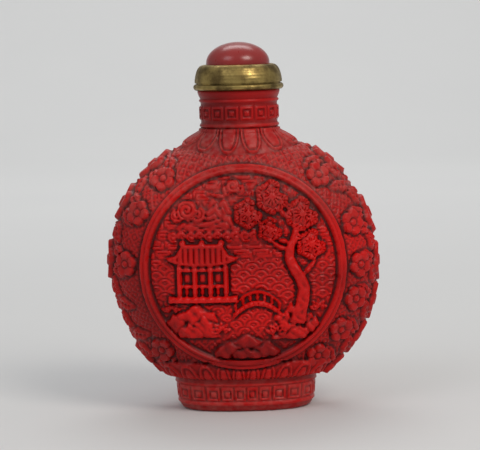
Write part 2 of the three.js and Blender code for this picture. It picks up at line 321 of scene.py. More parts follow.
# heights of the outer rings from the foot to the lip
def ringHeights():
    reach = medallion["radius"] + 0.8
    centre = body["centre"]

    def arcHeights(low, high, pitch):
        start, end = (math.asin((edge - centre) / body["radius"]) for edge in (low, high))
        steps = max(round(abs(end - start) * body["radius"] / pitch), 2)
        return [centre + body["radius"] * math.sin(start + (end - start) * i / steps) for i in range(steps)]

    def evenHeights(low, high, pitch):
        steps = max(round((high - low) / pitch), 2)
        return [low + (high - low) * i / steps for i in range(steps)]

    heights = [0.0, 0.03, 0.12, 0.3]
    heights += evenHeights(0.5, foot["height"], weave["edge"])
    heights += arcHeights(foot["height"], centre - reach, weave["edge"])
    heights += evenHeights(centre - reach, centre + reach, weave["picture"])
    heights += arcHeights(centre + reach, neck["root"], weave["edge"])
    heights += evenHeights(neck["root"], neck["top"] - 0.3, weave["picture"])
    return heights + [neck["top"] - 0.3, neck["top"] - 0.08, neck["top"]]


# carving: small functions that say how high the lacquer stands, in millimetres

def smoothStep(low, high, value):
    share = np.clip((value - low) / (high - low), 0, 1)
    return share * share * (3 - 2 * share)


# distance to the straight line from one point to another
def lineDistance(x, u, ax, au, bx, bu):
    dx, du = bx - ax, bu - au
    share = np.clip(((x - ax) * dx + (u - au) * du) / (dx * dx + du * du), 0, 1)
    return np.hypot(x - ax - share * dx, u - au - share * du)


# distance to the outline of a closed shape, positive inside it
def insideDistance(x, u, outline):
    points = np.asarray(outline, float)
    nearest = np.full(x.shape, 1e9)
    crossings = np.zeros(x.shape, bool)
    for (ax, au), (bx, bu) in zip(points, np.roll(points, -1, axis=0)):
        if math.hypot(bx - ax, bu - au) < 1e-6:
            continue
        nearest = np.minimum(nearest, lineDistance(x, u, ax, au, bx, bu))
        if au != bu:
            crossings ^= ((au > u) != (bu > u)) & (x < (bx - ax) * (u - au) / (bu - au) + ax)
    return np.where(crossings, nearest, -nearest)


def scallopedDisc(x, u, radius, lobes, depth=0.2):
    turns = [i * 2 * math.pi / (lobes * 8) for i in range(lobes * 8)]
    reaches = [radius * (1 - depth + depth * abs(math.sin(lobes * turn / 2))) for turn in turns]
    return [(x + reach * math.cos(turn), u + reach * math.sin(turn)) for turn, reach in zip(turns, reaches)]


def crag(x, u, width, height, lean=0.0, steps=6):
    ring = [(x - width / 2, u - 0.5), (x + width / 2, u - 0.5)]
    for i in range(steps + 1):
        share = 1 - i / steps
        rise = height * math.sin(math.pi * (0.08 + 0.84 * share)) * (1 if i % 2 else 0.76)
        ring.append((x + (share - 0.5) * width + lean * rise, u + rise))
    return ring


# points on a smooth line through a few given ones
def smoothLine(knots, steps):
    knots = [np.array(knot, float) for knot in knots]
    padded = [2 * knots[0] - knots[1]] + knots + [2 * knots[-1] - knots[-2]]
    line = []
    for a, b, c, d in zip(padded, padded[1:], padded[2:], padded[3:]):
        for i in range(steps):
            t = i / steps
            line.append(0.5 * (2 * b + (c - a) * t + (2 * a - 5 * b + 4 * c - d) * t * t
                               + (3 * b - a - 3 * c + d) * t ** 3))
    return line + [knots[-1]]


def taperedBand(knots, startWidth, endWidth):
    line = smoothLine(knots, 6)
    left, right = [], []
    for i, at in enumerate(line):
        heading = line[min(i + 1, len(line) - 1)] - line[max(i - 1, 0)]
        heading = heading / np.hypot(*heading)
        half = (startWidth + (endWidth - startWidth) * i / (len(line) - 1)) / 2
        left.append((at[0] - heading[1] * half, at[1] + heading[0] * half))
        right.append((at[0] + heading[1] * half, at[1] - heading[0] * half))
    return left + right[::-1]


def rectangle(left, bottom, width, height):
    return [(left, bottom), (left + width, bottom), (left + width, bottom + height), (left, bottom + height)]


def sweptRoof(x, u, width, height):
    eaves = [(x + across * width / 2, u + 0.35 * height * across ** 4) for across in np.linspace(-1, 1, 17)]
    return eaves + [(x + width * 0.36, u + height * 0.5), (x + width * 0.27, u + height),
                    (x - width * 0.27, u + height), (x - width * 0.36, u + height * 0.5)]


def archedDeck(x, u, span, rise, thickness):
    across = np.linspace(-1, 1, 17)
    upper = [(x + a * span / 2, u + rise * (1 - a * a)) for a in across]
    lower = [(x + a * span / 2, u - thickness + rise * (1 - a * a)) for a in across]
    return lower + upper[::-1]


def leafOutline(x, u, length, width, turn):
    ring = []
    for i in range(24):
        t = i / 24 * 2 * math.pi
        along = length / 2 * math.cos(t)
        across = width / 2 * math.sin(t) * (1 - 0.35 * math.cos(t)) * (1 + 0.14 * math.sin(6 * t))
        ring.append((x + along * math.cos(turn) - across * math.sin(turn),
                     u + along * math.sin(turn) + across * math.cos(turn)))
    return ring


# a row of chisel cuts: broad rounded ridges with a narrow cut between them
def chisel(value, period, depth):
    return -depth * np.abs(np.cos(np.pi * value / period)) ** 4


# a row of flat facets that meet in sharp ridges
def facets(value, period, depth):
    return depth * (np.abs(np.mod(value / period, 1) - 0.5) * 2 - 1)


def turnAndReach(x, u, spec):
    dx, du = x - spec["x"], u - spec["u"]
    turn = np.arctan2(du, dx * spec.get("hand", 1))
    return turn, np.hypot(dx, du) / spec.get("radius", 1)


# how each kind of thing is cut: x and u across the face, and the distance inside the outline
def needleCuts(x, u, inside, spec):
    turn, reach = turnAndReach(x, u, spec)
    return chisel(turn, 2 * np.pi / 12, 0.42) * smoothStep(0.2, 0.45, reach) + 0.3 * (1 - reach ** 2)


def scrollCuts(x, u, inside, spec):
    turn, reach = turnAndReach(x, u, spec)
    return chisel(reach - 0.9 * turn / (2 * np.pi), 0.9, 0.36) + 0.12 * np.clip(inside, 0, 1)


def hillCuts(x, u, inside, spec):
    return chisel(inside, 1.0, 0.26) + 0.08 * np.clip(inside, 0, 2)


def rockCuts(x, u, inside, spec):
    slant = 0.8 * x + 0.5 * u + 0.45 * np.sin(1.1 * u + spec["x"])
    ledge = 0.75 * u - 0.35 * x + 0.4 * np.sin(0.9 * x)
    return facets(slant, 1.9, 0.4) + facets(ledge, 2.3, 0.28) + 0.22 * np.clip(inside, 0, 1) + 0.12


def barkCuts(x, u, inside, spec):
    scales = np.sin(2.6 * x + 1.1 * np.sin(1.9 * u)) * np.sin(2.4 * u + 0.9 * x)
    return 0.2 * scales + chisel(inside, 1.1, 0.16) + 0.22 * np.clip(inside, 0, 1.2) - 0.1


def tileCuts(x, u, inside, spec):
    ridge = smoothStep(spec["ridge"] - 0.75, spec["ridge"] - 0.6, u)
    eave = 1 - smoothStep(0.5, 0.7, inside)
    return chisel(x, 1.05, 0.42) * (1 - ridge) * (1 - eave) + 0.12 * ridge + chisel(x, 1.05, 0.2) * eave


def plankCuts(x, u, inside, spec):
    return chisel(x, 0.9, 0.3) * smoothStep(0.2, 0.32, inside)


def blockCuts(x, u, inside, spec):
    return chisel(x, 1.5, 0.28) * smoothStep(0.2, 0.32, inside)


def petalCuts(x, u, inside, spec):
    turn, reach = turnAndReach(x, u, spec)
    heart = spec.get("heart", 0.25)
    boss = 0.25 * (1 - smoothStep(heart - 0.05, heart + 0.05, reach))
    boss = boss - 0.25 * np.exp(-((reach - heart - 0.11) / 0.07) ** 2)
    dish = 0.24 * smoothStep(heart + 0.15, 0.95, reach)
    seams = np.abs(np.sin(spec["lobes"] * turn / 2))
    seam = 0.3 * (1 - smoothStep(0.05, 0.3, seams))
    return boss + dish - seam * smoothStep(heart + 0.13, heart + 0.25, reach)


def leafCuts(x, u, inside, spec):
    dx, du = x - spec["x"], u - spec["u"]
    along = dx * math.cos(spec["turn"]) + du * math.sin(spec["turn"])
    across = -dx * math.sin(spec["turn"]) + du * math.cos(spec["turn"])
    return -0.36 * np.exp(-(across / 0.26) ** 2) + chisel(along - 0.9 * np.abs(across), 1.15, 0.24)


def plain(x, u, inside, spec):
    return 0.0


# a motif: its outline, how high it stands, how it is cut, and where, for the cuts that need it
def motif(outline, top, cuts=plain, **more):
    return {"outline": outline, "top": top, "cuts": cuts, **more}


# raises one motif out of what is there, with a fine cut all round it
def raiseMotif(height, x, u, where, spec):
    outline = np.asarray(spec["outline"])
    margin = 1.2
    near = ((x > outline[:, 0].min() - margin) & (x < outline[:, 0].max() + margin)
            & (u > outline[:, 1].min() - margin) & (u < outline[:, 1].max() + margin) & where)
    if not near.any():
        return
    inside = insideDistance(x[near], u[near], outline)
    top = spec["top"] + spec["cuts"](x[near], u[near], inside, spec)
    side = smoothStep(-0.1, spec.get("slope", 0.3), inside)
    there = height[near]
    moat = 0.3 * np.exp(-((inside + 0.26) / 0.26) ** 2)
    raised = np.maximum(there - moat * (1 - side), -0.1) * (1 - side) + np.clip(top, 0.15, None) * side
    height[near] = np.where(inside > -0.1, raised, np.maximum(there - moat, -0.1))


# a raised line from point to point of a small hook, as high as 1
def hookLine(x, u, points):
    bar = np.zeros_like(x)
    for start, end in zip(points, points[1:]):
        bar = np.maximum(bar, 1 - smoothStep(0.1, 0.34, lineDistance(x, u, *start, *end)))
    return bar


# the grounds cut behind every picture: hooked clouds for air, ripples for water, blossoms for land
def skyGround(x, u):
    cell = 1.9
    across = np.mod(x + np.floor(u / cell) * cell, 2 * cell) - cell
    up = np.mod(u, cell) - cell / 2
    hook = [(-1.55, -0.1), (-1.55, 0.6), (1.0, 0.6), (1.0, 0.0), (0.1, 0.0)]
    return 0.3 * np.maximum(hookLine(across, up, hook), hookLine(-across, -up, hook))


def waterGround(x, u):
    half, tall = 1.7, 1.4
    across = np.mod(x + np.floor(u / tall) * half, 2 * half) - half
    up = np.mod(u, tall)
    return 0.15 + 0.15 * np.cos(2 * np.pi * (np.hypot(across, up * 1.35) / 0.95))


def blossomGround(x, u):
    cell = 2.6
    a = np.mod((x + u) / cell, 1) - 0.5
    b = np.mod((x - u) / cell, 1) - 0.5
    lattice = smoothStep(0.36, 0.44, np.maximum(np.abs(a), np.abs(b)))
    petals = 0.22 + 0.07 * np.cos(4 * np.arctan2(b, a))
    return 0.26 * np.maximum(lattice, 1 - smoothStep(petals - 0.05, petals + 0.05, np.hypot(a, b)))


# how high each thing stands, in millimetres, and the most that the picture and the edge may reach
relief = {"rim": 1.05, "high": 1.2, "middle": 0.85, "low": 0.5, "flower": 0.85, "leaf": 0.75,
          "pictureMost": 1.32, "edgeMost": 1.1}


# a flower of five petals; ten lobes cut each petal in two
def flowerMotif(x, u, radius, top, lobes=5, depth=0.2, **more):
    outline = scallopedDisc(x, u, radius, 5, depth)
    return motif(outline, top, petalCuts, x=x, u=u, radius=radius, lobes=lobes, **more)


# pine needles grow in round fans that overlap in a bunch
def needleBunch(x, u, radius, top):
    fans = []
    for i in range(6):
        turn = (0.25 + i / 6) * 2 * math.pi
        reach = radius * 0.5 if i < 5 else 0.0
        fanX, fanU = x + reach * math.cos(turn), u + reach * math.sin(turn)
        fans.append(motif(scallopedDisc(fanX, fanU, radius * 0.52, 6, 0.12), top + 0.03 * i, needleCuts,
                          x=fanX, u=fanU, radius=radius * 0.52))
    return fans


# a rock is a huddle of crags, the low ones in front
def rockHuddle(x, u, width, height, lean):
    crags = [motif(crag(x, u, width, height, lean), relief["middle"] - 0.1, rockCuts, x=x)]
    for i, (shift, wide, tall) in enumerate(((-0.27, 0.46, 0.66), (0.26, 0.48, 0.56), (-0.02, 0.4, 0.36))):
        crags.append(motif(crag(x + shift * width, u, width * wide, height * tall, -lean),
                           relief["middle"] + 0.05 + 0.08 * i, rockCuts, x=x + 2 * i))
    return crags


# a cloud: curled heads with a trail of mist
def cloudBank(x, u, radius, trail):
    mist = [(x, u - 0.5 * radius), (x + trail * 0.5, u - 0.9 * radius), (x + trail, u - 0.6 * radius)]
    heads = [motif(taperedBand(mist, 1.1, 0.3), relief["low"])]
    for shift, lift, share, hand in ((-0.75, -0.25, 0.55, -1), (0.8, -0.2, 0.6, 1), (0.0, 0.15, 0.8, 1)):
        headX, headU = x + shift * radius, u + lift * radius
        heads.append(motif(scallopedDisc(headX, headU, radius * share, 4, 0.1), relief["middle"] - 0.2,
                           scrollCuts, x=headX, u=headU, hand=hand))
    return heads


def mistRow(x, u, count, pitch):
    curls = [(x + i * pitch, u + 0.25 * (i % 2)) for i in range(count)]
    return [motif(scallopedDisc(curlX, curlU, 0.62 * pitch, 3, 0.1), relief["low"] - 0.02, scrollCuts,
                  x=curlX, u=u) for curlX, curlU in curls]


def hillRange(hills):
    return [motif(crag(*hill, 8), relief["low"] - 0.06 * (2 - i), hillCuts) for i, hill in enumerate(hills)]


# a tree's boughs, then the trunk in front of them
def treeMotifs(trunk, trunkWidths, boughs, boughWidths):
    limbs = [motif(taperedBand(bough, *boughWidths), relief["high"] - 0.35, barkCuts) for bough in boughs]
    return limbs + [motif(taperedBand(trunk, *trunkWidths), relief["high"] - 0.15, barkCuts)]


def pineMotifs():
    trunk = [(10.2, -11), (11.6, -4), (9.0, 2), (10.4, 7.5), (7.0, 11.5)]
    boughs = [[(10.4, -2.5), (13.2, 0.2), (14.2, 2.6)], [(9.3, 4.5), (5.2, 6.4), (2.6, 9.5)],
              [(9.6, 5.4), (11.4, 7.4), (11.8, 9.4)], [(9.2, 3.4), (6.6, 4.4), (4.4, 7.0)]]
    pads = [(13.2, 4.4, 3.1), (11.6, 10.2, 3.4), (5.9, 13.6, 3.4), (1.2, 10.6, 3.0), (5.4, 7.4, 2.5)]
    motifs = treeMotifs(trunk, (2.8, 1.1), boughs, (1.2, 0.6))
    for pad in pads:
        motifs += needleBunch(*pad, relief["high"] - 0.45)
    return motifs


def pavilionMotifs():
    high, middle, low = relief["high"], relief["middle"], relief["low"]
    posts = [motif(rectangle(left, -5.4, 1.0, 6.4), high - 0.1) for left in (-12.9, -9.9, -6.9, -3.9)]
    # the open wall behind the posts, its rail, its lintel and its balusters
    rails = [motif(rectangle(-12.6, bottom, 9.4, tall), top, slope=0.2)
             for bottom, tall, top in ((-5.5, 6.4, 0.15), (-3.7, 0.75, middle), (-0.5, 1.2, middle))]
    rails += [motif(rectangle(left, -5.5, 0.55, 2.2), low + 0.1, slope=0.2) for left in (-11.3, -8.3, -5.3)]
    base = [motif(rectangle(-14.6, -6.6, 13.4, 1.3), high, blockCuts)]
    roof = [motif(sweptRoof(-7.9, 0.6, 14.2, 4.3), high, tileCuts, ridge=4.9)]
    finials = [motif(scallopedDisc(x, 5.0, 0.7, 3, 0.1), high) for x in (-11.6, -7.9, -4.2)]
    return rails + posts + base + finials + roof


# the humped footbridge: a planked deck, a handrail over it and the posts between them
def bridgeMotifs(x, u, span, rise):
    posts = []
    for i in range(7):
        across = (i - 3) / 3.4
        level = u + rise * (1 - across ** 2)
        posts.append(motif(rectangle(x + across * span / 2 - 0.3, level, 0.6, 1.5), relief["middle"]))
    rail = motif(archedDeck(x, u + 1.9, span * 0.96, rise, 0.55), relief["middle"] + 0.05)
    deck = motif(archedDeck(x, u, span, rise, 1.1), relief["middle"] + 0.05, plankCuts)
    return posts + [rail, deck]


def shrub(x, u, radius):
    leaves = []
    for turn in (0.25, 0.9, 1.57, 2.2, 2.9):
        leafX, leafU = x + radius * math.cos(turn), u + radius * math.sin(turn)
        leaves.append(motif(leafOutline(leafX, leafU, 1.9, 1.0, turn), relief["middle"] + 0.1, leafCuts,
                            turn=turn, x=leafX, u=leafU))
    return leaves


def frontMotifs():
    hills = [(-4.5, 6.9, 9, 7.6, 0.0), (-7, 6.5, 12, 6.2, 0.1), (1.5, 5.5, 9, 4.5, -0.1)]
    rocks = [(-10.2, -13.0, 11, 6.9, 0.15), (10.4, -13.6, 10.5, 6.8, -0.2), (0.5, -17.2, 13, 4.2, 0)]
    motifs = hillRange(hills) + mistRow(-13.4, 6.3, 12, 1.75)
    motifs += cloudBank(-10.6, 11.0, 2.5, 6.5) + cloudBank(-1.6, 15.6, 1.7, -5.0)
    motifs += bridgeMotifs(2.6, -8.9, 9.6, 2.6)
    for rock in rocks:
        motifs += rockHuddle(*rock)
    for clump in ((-14.2, -8.2, 1.1), (-4.6, -12.4, 1.0), (6.0, -12.9, 1.1), (14.4, -8.4, 1.0)):
        motifs += shrub(*clump)
    return motifs + pavilionMotifs() + pineMotifs()


def backMotifs():
    hills = [(3.0, 3.4, 9, 7.4, 0.1), (6.5, 3.5, 13, 6.5, -0.1), (-1.5, 3.0, 8, 4.2, 0.1)]
    rocks = [(-9.2, -13.4, 12.5, 8.2, 0.15), (4.5, -16.4, 14, 4.6, -0.1)]
    trunk = [(-8.6, -8), (-10.6, -3), (-6.6, 2.5), (-8.4, 7.5), (-4.6, 12)]
    boughs = [[(-9.6, -2.5), (-13.2, 1.2), (-14.2, 5)], [(-7.2, 4), (-3.2, 5.4), (0.2, 9)],
              [(-8.0, 6.0), (-10.4, 8.2), (-9.6, 12.4)], [(-6.4, 9.4), (-3.4, 10.6), (-1.6, 14.0)]]
    blooms = [(-13.6, 6.6), (-11.0, 1.2), (-8.6, 10.6), (-4.2, 13.8), (-2.4, 5.4), (1.2, 10.8), (-4.9, 8.8)]
    buds = [(-12.9, 3.4), (-9.8, 13.4), (-1.2, 15.0), (-0.6, 7.6)]
    motifs = hillRange(hills) + mistRow(-5.4, 3.2, 12, 1.75) + cloudBank(9.4, 12.0, 2.4, -6.0)
    for rock in rocks:
        motifs += rockHuddle(*rock)
    motifs += shrub(-14.6, -7.6, 1.0) + shrub(-2.6, -11.8, 1.1) + shrub(10.8, -13.2, 1.0)
    # the boat: hull, two posts and the awning they carry
    motifs += [motif(archedDeck(7.6, -4.4, 11, -1.7, 1.5), relief["high"], plankCuts)]
    motifs += [motif(rectangle(left, -5.2, 0.6, 2.0), relief["middle"]) for left in (5.4, 9.2)]
    motifs += [motif(sweptRoof(7.6, -4.6, 5.6, 2.6), relief["high"], tileCuts, ridge=-2.0)]
    motifs += treeMotifs(trunk, (2.7, 0.9), boughs, (1.1, 0.5))
    for flowers, radius in ((blooms, 1.9), (buds, 1.4)):
        motifs += [flowerMotif(x, u, radius, relief["high"] - 0.15, depth=0.3) for x, u in flowers]
    return motifs


# the picture on one face: its grounds, then each motif in front of the last, then the raised rim
def carvePicture(height, x, u, where, motifs, horizon, land=-12.5):
    radius, rim = medallion["radius"], medallion["rim"]
    distance = np.hypot(x, u)
    inside = where & (distance < radius + 0.3)
    px, pu = x[inside], u[inside]
    shore = horizon + 0.6 * np.sin(px * 0.5)
    ground = np.where(pu > shore, skyGround(px, pu), waterGround(px, pu))
    ground = np.where(pu < land + 0.5 * np.sin(px * 0.7), blossomGround(px, pu), ground)
    height[inside] = ground * (1 - smoothStep(radius - 0.6, radius - 0.2, distance[inside]))
    for spec in motifs:
        raiseMotif(height, x, u, inside, spec)
    height[inside] = np.minimum(height[inside], relief["pictureMost"])
    ring = where & (distance > radius - 0.5) & (distance < radius + rim + 0.8)
    across = distance[ring] - radius - rim / 2
    bead = relief["rim"] * (1 - smoothStep(rim / 2 - 0.3, rim / 2 + 0.15, np.abs(across)))
    bead = bead - 0.3 * np.exp(-(across / 0.2) ** 2)
    keep = smoothStep(rim / 2 - 0.1, rim / 2 + 0.25, np.abs(across))
    groove = 0.25 * np.exp(-((np.abs(across) - 1.1) / 0.2) ** 2)
    height[ring] = np.maximum(bead, height[ring] * keep - groove)


# the band between the faces, in millimetres: each flower's bearing and how far it stands out, the small
# flowers' place across the band and radius, each row of leaves' place across and turn
edgeBand = {
    "right": [(-52, 2.0), (-35, 1.9), (-18, 1.6), (-1, 1.2), (20, 1.2), (49, 1.2)],
    "left": [(131, 0.9), (152, 1.1), (178, 1.0), (225, 1.6)],
    "flower": 4.1, "smallFlowers": (9.0, 2.8), "leaf": (5.2, 2.5),
    "leafRows": ((6.9, 1.15), (4.6, 0.55)), "leafPitch": 3.6,
    "swellFades": (4.0, 9.0), "dip": 0.25, "dipGrows": (9.0, 20.0), "pastEnds": 18,
}


# flowers on a winding stem; place runs round the edge and t across it
def edgeMotifs(bearings, radius):
    places = [math.radians(bearing) * radius for bearing in bearings]
    ends = [places[0] - 5, *places, places[-1] + 5]
    stem = [(place, 0.9 * (-1) ** i) for i, place in enumerate(ends)]
    motifs = [motif(taperedBand(stem, 1.0, 1.0), relief["leaf"] - 0.2)]
    sprays = []
    for a, b in zip(ends, ends[1:]):
        count = max(round((b - a) / edgeBand["leafPitch"]), 1)
        for i in range(count):
            place = a + (b - a) * (i + 0.5) / count
            t, turn = edgeBand["leafRows"][i % 2]
            sprays += [(place, side * t, side * turn) for side in (-1, 1)]
    for place, t, _ in sprays:
        twig = [(place - 1.6, 0), (place - 0.8, t * 0.4), (place, t * 0.8)]
        motifs.append(motif(taperedBand(twig, 0.6, 0.4), relief["leaf"] - 0.25))
    for place, t, turn in sprays:
        leaf = leafOutline(place, t, *edgeBand["leaf"], turn)
        motifs.append(motif(leaf, relief["leaf"], leafCuts, slope=0.4, x=place, u=t, turn=turn))
    at, small = edgeBand["smallFlowers"]
    top = relief["leaf"] - 0.15
    for place in places:
        motifs += [flowerMotif(place, t, small, top, slope=0.25, heart=0.2) for t in (-at, at)]
        motifs.append(flowerMotif(place, 0, edgeBand["flower"], relief["flower"], 10, slope=0.5))
    return motifs


# nested squares in a row round the neck or the foot
def squareBorder(s, v, cell):
    across = np.abs(np.mod(s, cell) - cell / 2)
    ring = cell / 2 - np.maximum(across, np.abs(v))
    line = smoothStep(0.12, 0.3, ring) - smoothStep(0.55, 0.72, ring) + smoothStep(0.95, 1.1, ring)
    return 0.32 * np.clip(line, 0, 1)


# a ring of rounded lappets, each with a raised border and a raised tongue
def lappets(s, v, cell, length):
    across = np.abs(np.mod(s, cell) - cell / 2)
    half = 0.48 * cell * np.sqrt(1 - np.clip(v / length, 0, 1) ** 2.4)
    inside = np.minimum(half - across, (length - v) * 0.9)
    return 0.45 * (smoothStep(0.0, 0.16, inside) - 0.75 * smoothStep(0.45, 0.62, inside)
                   + 0.75 * smoothStep(0.85, 1.05, inside))


# where each border runs, and how many squares or lappets it has
borders = {
    "neckSquares": {"level": 58.9, "half": 2.0, "count": 16, "radius": neck["radius"]},
    "footSquares": {"level": 3.6, "half": 1.5, "count": 24, "radius": 12.0},
    "shoulderLappets": {"level": 56.0, "lowest": 47, "length": 5.4, "count": 12, "radius": 10.4,
                        "swell": 0.25},
    "footLappets": {"level": 6.8, "length": 3.4, "count": 24, "radius": 13.0, "swell": 0.7},
}


def carveEdge(height, x, y, z):
    u = z - body["centre"]
    depths = np.linspace(0, moonDepth(body, medallion["radius"]), 400)
    radii = body["radius"] * (1 - (depths / body["halfDepth"]) ** 2) ** (1 / body["squareness"])
    arcs = np.concatenate([[0], np.cumsum(np.hypot(np.diff(depths), np.diff(radii)))])
    across = np.sign(y) * np.interp(np.abs(y), depths, arcs)
    middle = body["radius"] - 1.2
    outside = np.hypot(x, u) > medallion["radius"] + medallion["rim"] - 0.4
    bearing = np.arctan2(u, x)
    sides = ((edgeBand["right"], x > 0, bearing), (edgeBand["left"], x <= 0, np.mod(bearing, 2 * np.pi)))
    for flowers, half, turn in sides:
        bearings, rises = zip(*flowers)
        here = outside & half
        height[here] = 0.8 * blossomGround(turn[here] * middle, across[here])
        for spec in edgeMotifs(bearings, middle):
            raiseMotif(height, turn * middle, across, here, spec)
        # the band swells under the flowers that stand out furthest, and dips between them
        past = edgeBand["pastEnds"]
        stops = np.array([bearings[0] - past, *bearings, bearings[-1] + past])
        gap = np.abs(np.degrees(turn[here])[:, None] - stops).min(axis=1)
        swell = np.interp(np.degrees(turn[here]), bearings, rises) - relief["edgeMost"]
        swell -= edgeBand["dip"] * smoothStep(*edgeBand["dipGrows"], gap)
        swell *= 1 - smoothStep(*edgeBand["swellFades"], np.abs(across[here]))
        height[here] = np.minimum(height[here], relief["edgeMost"]) + swell
    aboveFoot = smoothStep(foot["height"] + 0.2, foot["height"] + 1.2, z)
    height *= aboveFoot * (1 - smoothStep(neck["root"] - 0.8, neck["root"] + 1.0, z))


def cellLength(border):
    return 2 * np.pi * border["radius"] / border["count"]


def carveBorders(height, x, y, z, bearing):
    shoulder = borders["shoulderLappets"]
    length = shoulder["length"]
    fall = np.hypot(np.hypot(x, y) - neck["radius"], shoulder["level"] - z)
    here = (z > shoulder["lowest"]) & (z < shoulder["level"]) & (fall < length + 0.25)
    height[here] = lappets(bearing[here] * shoulder["radius"], fall[here], cellLength(shoulder), length)
    height[here] += shoulder["swell"] * np.sin(np.pi * np.clip(fall[here] / length, 0, 1))
    petals = borders["footLappets"]
    length = petals["length"]
    rise = z - petals["level"]
    here = (rise > 0) & (rise < length + 0.2)
    raised = lappets(bearing[here] * petals["radius"], rise[here], cellLength(petals), length)
    raised += petals["swell"] * smoothStep(0.0, 1.0, rise[here])
    height[here] = np.maximum(height[here], raised)
    for row in (borders["neckSquares"], borders["footSquares"]):
        v = z - row["level"]
        here = np.abs(v) < row["half"] + 0.3
        squares = squareBorder(bearing[here] * row["radius"], v[here], cellLength(row))
        height[here] = squares * (np.abs(v[here]) < row["half"])
        # a bead runs above the squares and one below
        for level in (row["level"] - row["half"] - 0.45, row["level"] + row["half"] + 0.45):
            bead = np.abs(z - level) < 0.5
            height[bead] = np.maximum(height[bead], 0.34 * np.exp(-((z[bead] - level) / 0.28) ** 4))


def carveAll(x, y, z, bearing):
    height = np.zeros_like(x)
    u = z - body["centre"]
    carveEdge(height, x, y, z)
    carveBorders(height, x, y, z, bearing)
    carvePicture(height, x, u, y < 0, frontMotifs(), horizon=1.6)
    carvePicture(height, -x, u, y > 0, backMotifs(), horizon=-1.0)
    return height


# patches of painted light and shade that make parts of the body lighter or darker, such as the shade
# down the left side and on the neck under the collar: each patch has its x and z, its half-width and
# half-height, and how much lighter (up to 1) or darker (down to -1) it is
paintedLightPatches = [
    (4.0, 21.8, 14.0, 6.7, 0.9), (-8.0, 22.5, 7.0, 6.5, 0.6), (16.5, 33.5, 10.5, 5.5, 0.9),
    (-12.0, 43.5, 6.0, 4.5, 0.5), (-14.0, 30.0, 4.5, 8.0, 0.4), (0.0, 34.5, 8.0, 5.0, 0.1),
    (-24.0, 35.0, 5.5, 13.0, -0.55), (3.0, 14.6, 6.5, 2.2, -0.6), (18.5, 27.0, 6.0, 2.8, -0.4),
    (-5.0, 11.2, 14.0, 3.9, -0.8), (6.0, 13.0, 8.0, 2.6, -0.4), (-18.0, 20.0, 5.5, 8.0, -0.7),
    (-6.0, 58.0, 6.0, 7.0, -1.1), (0.0, 7.4, 9.0, 2.5, 0.6), (-7.0, 23.0, 6.0, 5.0, 0.3),
    (0.0, 19.5, 8.0, 3.0, 0.4),
]


def paintedLightMap(x, y, z):
    paintedLight = np.zeros_like(x)
    for patchX, patchZ, halfWidth, halfHeight, lighter in paintedLightPatches:
        reach = np.hypot((x - patchX) / halfWidth, (z - patchZ) / halfHeight)
        paintedLight += lighter * np.exp(-reach ** 4)
    return paintedLight * (0.8 - 0.2 * np.tanh(y / 6))


# painted sheen: a pale pink haze on the upper body, from the shoulders down to a little above the middle,
# strongest on what faces up, where the overhead light would shine;
# the foot is painted the same pale pink all round
paintedSheenZones = {"grows": (33.5, 45.5), "ends": (56.0, 58.0), "footEnds": (4.0, 9.0), "onFoot": 0.7}


def paintedSheenMask(z, up):
    shoulders = smoothStep(*paintedSheenZones["grows"], z) * (1 - smoothStep(*paintedSheenZones["ends"], z))
    shoulders *= 0.4 + 0.6 * np.clip(up, 0, 1)
    return shoulders + paintedSheenZones["onFoot"] * (1 - smoothStep(*paintedSheenZones["footEnds"], z))


# average over a patch of the mesh, wrapping round, to tell cuts from ridges
def spread(grid, steps):
    for _ in range(steps):
        grid = (np.roll(grid, 1, 1) + 2 * grid + np.roll(grid, -1, 1)) / 4
        padded = np.pad(grid, ((1, 1), (0, 0)), mode="edge")
        grid = (padded[:-2] + 2 * grid + padded[2:]) / 4
    return grid


